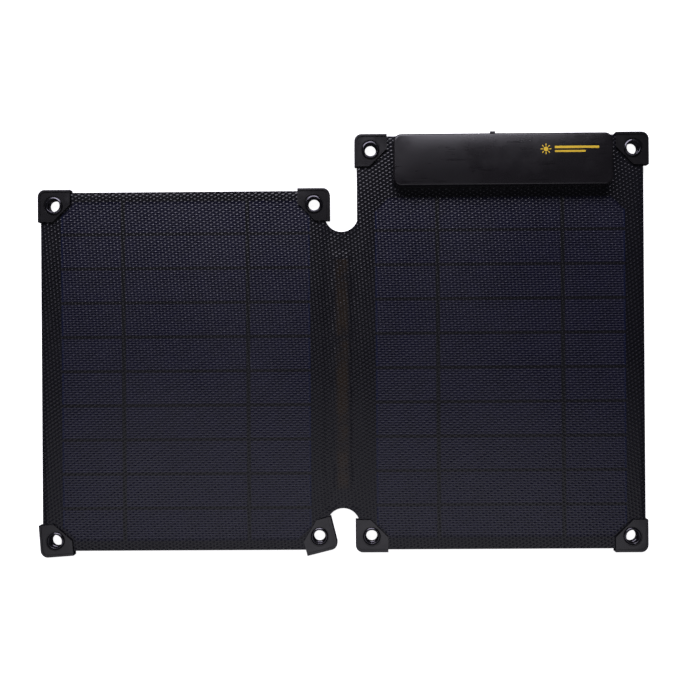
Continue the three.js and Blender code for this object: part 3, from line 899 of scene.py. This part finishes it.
def build_sheets(side):
    """A panel's laminate and rear cloth, each with its half of the web."""
    holes = sheet_holes(side)

    pits = clear_points(pit_points(), side, holes, GRID_CLEAR["pits"])
    web = coarse_grid(GRID["web"])
    web = web[np.abs(web[:, 0]) < WEB_GRID_REACH]
    plain = coarse_grid(GRID["panel"])
    plain = plain[np.abs(plain[:, 0]) >= WEB_GRID_REACH]
    under = clear_points(np.concatenate([web, plain]), side, holes, GRID_CLEAR["plain"])
    around = clear_points(coarse_grid(GRID["rear"]), side, holes, GRID_CLEAR["plain"])
    front = sheet(f"front_laminate_{side}", side, holes, pits, under, embossed, film_underside)
    rear = sheet(f"rear_cloth_{side}", side, holes, under, around, cloth_inside, rear_face)
    for piece, material, slot, node, skin in (
        (front, f"film_{side}", "film", "front_film", "front_skin"),
        (rear, "cloth", "fabric", "rear_fabric", "rear_skin"),
    ):
        dress(piece, material)
        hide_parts(f"{side}_{node}")
        if side == "right":
            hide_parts(f"hinge_{skin}")
        bend_over_fold(piece, side)


def build_ribbon(side):
    """Half of the flat ribbon under the web, from the fold's middle outwards."""
    columns, rows = 8, 60
    xs = np.sort(np.linspace(0, FLEX_HIGH.x, columns + 1) * SIDES[side])
    ys = np.linspace(FLEX_LOW.y, FLEX_HIGH.y, rows + 1)
    edges = [
        np.stack([xs, np.full(columns + 1, ys[0])], 1),
        np.stack([np.full(rows + 1, xs[-1]), ys], 1),
        np.stack([xs, np.full(columns + 1, ys[-1])], 1)[::-1],
        np.stack([np.full(rows + 1, xs[0]), ys], 1)[::-1],
    ]
    outline = np.concatenate([edge[:-1] for edge in edges])
    inner = np.stack(np.meshgrid(xs[1:-1], ys[1:-1]), -1).reshape(-1, 2)
    points, faces = triangles([outline], inner)
    upper, lower = level(points, FLEX_HIGH.z), level(points, FLEX_LOW.z)
    obj = closed_body(f"flex_ribbon_{side}", [outline], upper, faces, lower, faces)
    to_row(obj)
    dress(obj, "copper")
    if side == "right":
        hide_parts("hinge_flex_ribbon")
    bend_over_fold(obj, side)


for side_name in SIDES:
    build_sheets(side_name)
    build_ribbon(side_name)


# ---- clips and eyelets

CLIP_REACH = 10.1
CLIP_ARM = 20.4
CLIP_END = 9.4
CLIP_CORNER = 4.6
CLIP_TOP = 6.2
CLIP_ROUND = {"outer": 0.6, "inner": 0.22}
CLIP_WALL = 0.9
CLIP_CORNER_STEPS = 16
LEAST_ROUND = {"clip": 0.4, "cover": 0.5}
CLIP_RIM = 1.5
GROOVE = {"width": 0.8, "depth": 0.55}
RING_GROOVE = {"r": (5.56, 6.25), "depth": 0.5}
SLOT_Z = (1.4, 4.7)
REAR_RECESS = {"r": 5.8, "depth": 0.8}
EYELET = {"bore": 3.5, "throat": 4.05, "barrel": 4.3, "crest": 4.45, "outer": 5.5, "foot": 0.06}
LIP_RISE = 0.95
LIP_SLOPE = (0.14, 0.27)
EYELET_GAP = 0.03
EYELET_TURN = 1.7

# How far a cutter reaches past what it cuts.
PAST = 1

# Quarter turns by the way that a clip's outer corner points, and the clips that have slipped
# about their eyelets, in degrees.
QUARTER = {(1, 1): 0, (-1, 1): 1, (-1, -1): 2, (1, -1): 3}
SLIP = {"left_bottom_outer": 4, "left_bottom_inner": 14}


def corner_path(inset, end):
    """An open path along the two outer edges, set in from them, round at the corner."""
    edge = CLIP_REACH - inset
    r = max(CLIP_CORNER - inset, LEAST_ROUND["clip"])
    turn = arc(edge - r, edge - r, r, 0, 90, CLIP_CORNER_STEPS)
    return np.concatenate([[[edge, end]], turn, [[end, edge]]])


def clip_edge(edge):
    """True for the level edges of a clip's front and rear faces."""
    return edge_at(2, CLIP_TOP)(edge) or edge_at(2, 0)(edge)


def on_rim(edge):
    """True for the edges along a clip's two outer sides and round its corner."""
    return all(max(v.co.x, v.co.y) > CLIP_REACH - CLIP_CORNER / 2 for v in edge.verts)


def clip_mesh():
    """A moulded pocket with a rim and groove, a slot for the laminate and an eyelet hole."""
    far, near = CLIP_REACH - CLIP_ARM, CLIP_REACH - CLIP_END
    outline = np.concatenate([corner_path(0, far), [[far, near], [near, far]]])
    body = prism("clip_body", outline, 0, CLIP_TOP)
    bevel(body, CLIP_ROUND["outer"], 4, lambda e: clip_edge(e) and on_rim(e))
    bevel(body, CLIP_ROUND["inner"], 2, lambda e: clip_edge(e) and not on_rim(e))
    reach = far - 2 * PAST
    sides = [corner_path(CLIP_RIM, reach), corner_path(CLIP_RIM + GROOVE["width"], reach)[::-1]]
    trench = prism("trench", np.concatenate(sides), CLIP_TOP - GROOVE["depth"], CLIP_TOP + PAST)
    carve(body, trench)
    (r0, r1), bottom = RING_GROOVE["r"], CLIP_TOP - RING_GROOVE["depth"]
    section = [(r0, bottom), (r1, bottom), (r1, CLIP_TOP + PAST), (r0, CLIP_TOP + PAST)]
    carve(body, lathe("ring_groove", section, 48))
    inner, edge = -2 * CLIP_ARM, CLIP_REACH - CLIP_WALL
    pocket = rounded(inner, inner, edge, edge, CLIP_CORNER - CLIP_WALL)
    carve(body, prism("pocket", pocket, *SLOT_Z))
    carve(body, rod("hole", 0, 0, EYELET_HOLE, -PAST, CLIP_TOP + PAST, 48))
    carve(body, rod("recess", 0, 0, REAR_RECESS["r"], -PAST, REAR_RECESS["depth"], 48))
    return body


def eyelet_mesh():
    """A sloping front lip over a stepped bore, with a flat rear flange."""
    bore, throat, barrel = EYELET["bore"], EYELET["throat"], EYELET["barrel"]
    crest, outer, foot = EYELET["crest"], EYELET["outer"], EYELET["foot"]
    base, rear = CLIP_TOP + EYELET_GAP, REAR_RECESS["depth"] - EYELET_GAP
    top = base + LIP_RISE
    across = np.linspace(outer - 0.08, crest, 7) - crest
    first, second = LIP_SLOPE
    slope = [(crest + d, top - first * d - second * d * d) for d in across]
    # From the bore's foot out under the flange, up the barrel, and back over the lip.
    profile = [
        (bore, foot + 0.24),
        (bore + 0.2, foot + 0.04),
        (bore + 0.45, foot),
        (outer - 0.25, foot),
        (outer, foot + 0.19),
        (outer, rear),
        (barrel, rear),
        (barrel, base),
        (outer - 0.05, base),
        (outer, base + 0.4),
        *slope,
        (crest - 0.15, top - 0.03),
        (crest - 0.30, top - 0.14),
        (throat, top - 0.35),
        (throat, 3.75),
        (throat - 0.07, 3.55),
        (bore + 0.12, 3.35),
        (bore, 3.15),
    ]
    return lathe("eyelet_ring", profile)


def build_fixings():
    """A clip and an eyelet at each corner of each panel."""
    clip = clip_mesh()
    ring = eyelet_mesh()
    for side, sign in SIDES.items():
        for corner in CORNERS:
            place = eyelet_place(side, corner)
            end, reach = corner.split("_")
            toward = (sign if reach == "outer" else -sign, 1 if end == "top" else -1)
            turn = math.radians(90 * QUARTER[toward] + SLIP.get(f"{side}_{corner}", 0))
            at = Matrix.Translation((place.x, place.y, 0))
            for kind, source, angle in (("clip", clip, turn), ("eyelet", ring, turn * EYELET_TURN)):
                data = source.data.copy()
                data.transform(at @ Matrix.Rotation(angle, 4, "Z"))
                piece = linked(f"corner_{kind}_{side}_{corner}", data)
                finished(piece, kind, f"{side}_panel", f"{side}_{kind}_{corner}")
    bpy.data.objects.remove(clip)
    bpy.data.objects.remove(ring)


build_fixings()


# ---- controller box

BOX_CORNER = 5.0
BOX_Y1 = 258.7
BOX_WALL = 1.7
CAVITY_TOP = 14.0
TOP_ROUND = 1.4
TOP_ROUND_ANGLES = (15, 30, 45, 60, 75)
CROWN = 0.9
CROWN_RINGS = 16
CROWN_FLAT = 0.6
CROWN_POWER = {"across": 2.4, "along": 10}
COVER_STEPS = {"corner": 10, "short": 10, "long": 44}
POST = {"r": 3.0, "z": 9.03, "hole_top": 13.1, "in_roof": 0.3}
PORT_X = 93.9
PORT_Z = 10.66
PORT_OPENING = (13.9, 6.1)
PORT_SEAT = {"width": 17.2, "z": (6.7, 14.1), "depth": 0.95}
FLAP = {"width": 16.6, "thick": 0.85, "round": 0.3}
FLAP_PLUG = {"width": 13.2, "height": 5.4, "y": (1.6, 0.8)}
FLAP_TAB = {"width": 3.1, "z": (12.4, 13.5), "root": 0.4, "round": 0.35}
SCREW = {"head": 2.8, "shank": 1.25, "seat_z": 1.67, "cut": (3.0, 0.6, 0.55), "turn": 0.3}


def crown_height(x, y):
    """The height of the cover's crowned top."""
    middle_x, middle_y = (COVER_LOW.x + COVER_HIGH.x) / 2, (COVER_LOW.y + BOX_Y1) / 2
    along = np.abs(x - middle_x) / (COVER_HIGH.x - TOP_ROUND - middle_x)
    across = np.abs(y - middle_y) / (BOX_Y1 - TOP_ROUND - middle_y)
    rise = 1 - np.minimum(across, 1) ** CROWN_POWER["across"]
    rise *= 1 - np.minimum(along, 1) ** CROWN_POWER["along"]
    return COVER_HIGH.z - CROWN * (1 - rise)


def cover_outline(inset):
    """The cover's outline, set in, with its straight sides split into equal parts."""
    x0, x1, y0, y1 = COVER_LOW.x, COVER_HIGH.x, COVER_LOW.y, BOX_Y1
    r = max(BOX_CORNER - inset, LEAST_ROUND["cover"])
    steps = COVER_STEPS["corner"]
    corners = rounded(x0 + inset, y0 + inset, x1 - inset, y1 - inset, r, steps)
    corners = corners.reshape(4, steps + 1, 2)
    found = []
    for k, side in enumerate(("short", "long", "short", "long")):
        start, end = corners[k][-1], corners[(k + 1) % 4][0]
        shares = np.arange(1, COVER_STEPS[side])[:, None] / COVER_STEPS[side]
        found += [corners[k], start + (end - start) * shares]
    return np.concatenate(found)


def cover_ring(inset, z=None):
    """A ring of the cover at height z, or on its crowned top."""
    outline = cover_outline(inset)
    if z is None:
        return np.column_stack([outline, crown_height(*outline.T)])
    return level(outline, z)


def port_block(name, width, y0, y1, z0, z1):
    """A cuboid with the port at the middle of its width."""
    return slab(name, PORT_X - width / 2, PORT_X + width / 2, y0, y1, z0, z1)


def port_span(height):
    """The z limits of what is centred on the port."""
    return PORT_Z - height / 2, PORT_Z + height / 2


def build_cover():
    """The box's cover: crowned on top, open below, with screw posts and the port."""
    low, shoulder = COVER_LOW.z, COVER_HIGH.z - CROWN - TOP_ROUND
    rings = [cover_ring(BOX_WALL, CAVITY_TOP), cover_ring(BOX_WALL, low), cover_ring(0, low)]
    rings.append(cover_ring(0, shoulder))
    for angle in np.radians(TOP_ROUND_ANGLES):
        inset = TOP_ROUND * (1 - math.cos(angle))
        rings.append(cover_ring(inset, shoulder + TOP_ROUND * math.sin(angle)))
    reach = (BOX_Y1 - COVER_LOW.y) / 2 - CROWN_FLAT
    rings += [cover_ring(inset) for inset in np.linspace(TOP_ROUND, reach, CROWN_RINGS)]
    cover = loft("box_cover_shell", rings)
    for x, y in screw_places():
        post = rod("post", x, y, POST["r"], POST["z"], CAVITY_TOP + POST["in_roof"])
        carve(cover, post, "UNION")
        carve(cover, rod("bore", x, y, SCREW_HOLE, 0, POST["hole_top"]))
    width, height = PORT_OPENING
    inside, outside = BOX_Y1 - 2 * BOX_WALL, BOX_Y1 + PAST
    carve(cover, port_block("opening", width, inside, outside, *port_span(height)))
    seat_y = BOX_Y1 - PORT_SEAT["depth"]
    carve(cover, port_block("seat", PORT_SEAT["width"], seat_y, outside, *PORT_SEAT["z"]))
    finished(cover, "housing", "right_panel", "controller_box_cover", sharp=32)


def build_flap():
    """The port's rubber flap: a rounded cover, its stopper and a finger tab."""
    face, tip = BOX_Y1, FLAP_HIGH.y
    back, span = face - FLAP["thick"], (FLAP_LOW.z, FLAP_HIGH.z)
    flap = port_block("port_cover_flap", FLAP["width"], back, face, *span)
    bevel(flap, FLAP["round"], 3, edge_at(1, face))
    deep, shallow = FLAP_PLUG["y"]
    span = port_span(FLAP_PLUG["height"])
    plug = port_block("plug", FLAP_PLUG["width"], face - deep, face - shallow, *span)
    carve(flap, plug, "UNION")
    tab = port_block("tab", FLAP_TAB["width"], face - FLAP_TAB["root"], tip, *FLAP_TAB["z"])
    bevel(tab, FLAP_TAB["round"], 3, edge_at(1, tip))
    carve(flap, tab, "UNION")
    finished(flap, "rubber", "flap", "port_flap")


def build_screws():
    """Pan-head screws from behind, with a cross recess in each head."""
    head, shank, seat = SCREW["head"], SCREW["shank"], SCREW["seat_z"]
    length, width, depth = SCREW["cut"]
    for i, (x, y) in enumerate(screw_places()):
        low, high = box_mm(f"box_screw_{i + 1}")
        profile = [
            (0.02, low.z),
            (head - 0.9, low.z),
            (head - 0.4, low.z + 0.12),
            (head, low.z + 0.5),
            (head, seat),
            (shank, seat),
            (shank, high.z - 0.6),
            (0.02, high.z),
        ]
        screw = lathe(f"box_screw_turned_{i + 1}", profile, 32)
        for turn in (SCREW["turn"], SCREW["turn"] + math.pi / 2):
            across = (-length / 2, length / 2, -width / 2, width / 2)
            cut = slab("cut", *across, low.z - PAST, low.z + depth)
            cut.data.transform(Matrix.Rotation(turn + i, 4, "Z"))
            carve(screw, cut)
        screw.data.transform(Matrix.Translation((x, y, 0)))
        finished(screw, "steel", "right_panel", f"box_screw_{i + 1}")


# The printed mark: a sun, and bars as (right, up, length, height) from the sun's middle.
MARK = {"x": 126.4, "y": 248.3, "disc": 1.45, "ray": (2.0, 3.3), "rays": 8, "half": 0.32}
MARK_BARS = [(5.4, 0.4, 27.4, 1.5), (5.4, -2.0, 19.0, 1.2)]
MARK_BAR = {"round": 0.45, "steps": 5, "reach": 2.0}
MARK_THICK = 0.06


def build_mark():
    """A plain printed sun and two bars, in place of any lettering."""
    shapes = [arc(MARK["x"], MARK["y"], MARK["disc"], 0, 360, 28)[:-1]]
    for angle in np.radians(np.arange(MARK["rays"]) * 360 / MARK["rays"]):
        along = np.array([math.cos(angle), math.sin(angle)])
        across = np.array([-along[1], along[0]]) * MARK["half"]
        near, far = (along * r + (MARK["x"], MARK["y"]) for r in MARK["ray"])
        shapes.append(np.array([near - across, far - across, far + across, near + across]))
    for dx, dy, length, thick in MARK_BARS:
        x, y = MARK["x"] + dx, MARK["y"] + dy
        bar = rounded(x, y, x + length, y + thick, MARK_BAR["round"], MARK_BAR["steps"])
        shapes.append(resample(bar, MARK_BAR["reach"]))
    points, faces = [], []
    for shape in shapes:
        n, start = len(shape), len(points)
        z = crown_height(*shape.T)
        points += np.column_stack([shape, z - MARK_THICK / 2]).tolist()
        points += np.column_stack([shape, z + MARK_THICK / 2]).tolist()
        faces.append(list(range(start, start + n))[::-1])
        faces.append(list(range(start + n, start + 2 * n)))
        for a, b in loop_edges([shape]):
            faces.append([start + a, start + b, start + n + b, start + n + a])
    mark = mesh_object("box_printed_mark", points, faces)
    finished(mark, "ink", "right_panel")


build_cover()
build_flap()
build_screws()
build_mark()


# ---- CAD nodes that stay

STAYING = {
    "_cell_": ("silicon", "cell"),
    "_busbar_": ("copper", "copper"),
    "_backing_board": ("board", "board"),
    "controller_box_base": ("housing", "housing"),
    "circuit_board": ("circuit", "circuit"),
    "power_inductor": ("ferrite", "ferrite"),
    "usb_socket_shell": ("steel", "steel"),
    "usb_socket_tongue": ("rubber", "clip"),
}
for node_name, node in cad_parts.items():
    for part, (finish, slot_name) in STAYING.items():
        if part in node_name:
            dress(node, finish)


# ---- camera, light and floor

CAMERA = {"aim": (0.0, 112.0, 4.4), "offset": (4.78, 13.44, 575.0), "lens": 47.07}
CAMERA_YAW = math.radians(-0.508)
CAMERA_ROLL = math.radians(0.386)


def build_camera():
    data = bpy.data.cameras.new("camera")
    data.lens = CAMERA["lens"]
    data.sensor_width = 36.0
    data.clip_start = 0.01
    data.clip_end = 20.0
    camera = linked("camera", data)
    turn = Matrix.Rotation(CAMERA_ROLL, 3, "Z") @ Matrix.Rotation(CAMERA_YAW, 3, "Y")
    axes = turn.transposed()
    place = Vector(CAMERA["aim"]) + axes @ Vector(CAMERA["offset"])
    camera.matrix_world = Matrix.LocRotScale(ORIGIN + place * MM, axes.to_quaternion(), None)
    bpy.context.scene.camera = camera


# Softboxes: place and aim in metres, size, power in watts, colour.
SOFTBOXES = {
    "top": ((-0.15, 0.86, 0.82), (0.0, 0.05, 0.0), (1.0, 0.60), 15.0, (0.91, 0.88, 1.0)),
    "bottom": ((-0.02, -0.36, 0.95), (0.0, -0.03, 0.0), (1.1, 0.45), 1.45, (0.92, 0.90, 1.0)),
}


def build_lights():
    for name, (place, aim, size, power, colour) in SOFTBOXES.items():
        data = bpy.data.lights.new(f"softbox_{name}", "AREA")
        data.shape = "RECTANGLE"
        data.size, data.size_y = size
        data.energy = power
        data.color = colour
        light = linked(f"softbox_{name}", data)
        light.location = place
        light.rotation_euler = (Vector(aim) - Vector(place)).to_track_quat("-Z", "Y").to_euler()
        light.visible_camera = False
    world = bpy.data.worlds.new("studio")
    world.use_nodes = True
    world.node_tree.nodes["Background"].inputs["Color"].default_value = (0.045, 0.044, 0.053, 1)
    bpy.context.scene.world = world


# Floor and backdrop, in metres.
FLOOR_REACH = 4.0
FLOOR_GAP = 0.0003
BACKDROP_HEIGHT = 4.0


def paper_material():
    """Plain white paper, evenly lit, with a very faint tooth."""
    g = Graph("paper", Roughness=0.9, Emission_Color=rgb(1.0, 1.0, 1.0), Emission_Strength=0.9)
    tooth = g.ramp(g.noise(g.object_place(), 400.0, 2.0), 0.3, 0.7)
    g.colour(g.mix(tooth, rgb(0.88, 0.88, 0.88), rgb(0.92, 0.92, 0.92)))
    return g.material


def build_floor():
    """A round white floor, and a round white backdrop that only the camera sees."""
    paper = paper_material()
    z = CAD_BOUNDS[0].z - FLOOR_GAP
    circle = arc(0, 0, FLOOR_REACH, 0, 360, 96)[:-1]
    ring = level(circle, z)
    floor = mesh_object("floor", ring, [list(range(len(ring)))])
    backdrop = loft("backdrop", [ring, ring + [0, 0, BACKDROP_HEIGHT]], capped=False)
    floor.visible_glossy = backdrop.visible_glossy = backdrop.visible_diffuse = False
    for piece in (floor, backdrop):
        piece.data.materials.append(paper)


build_camera()
build_lights()
build_floor()
bpy.context.scene.view_settings.view_transform = "Standard"
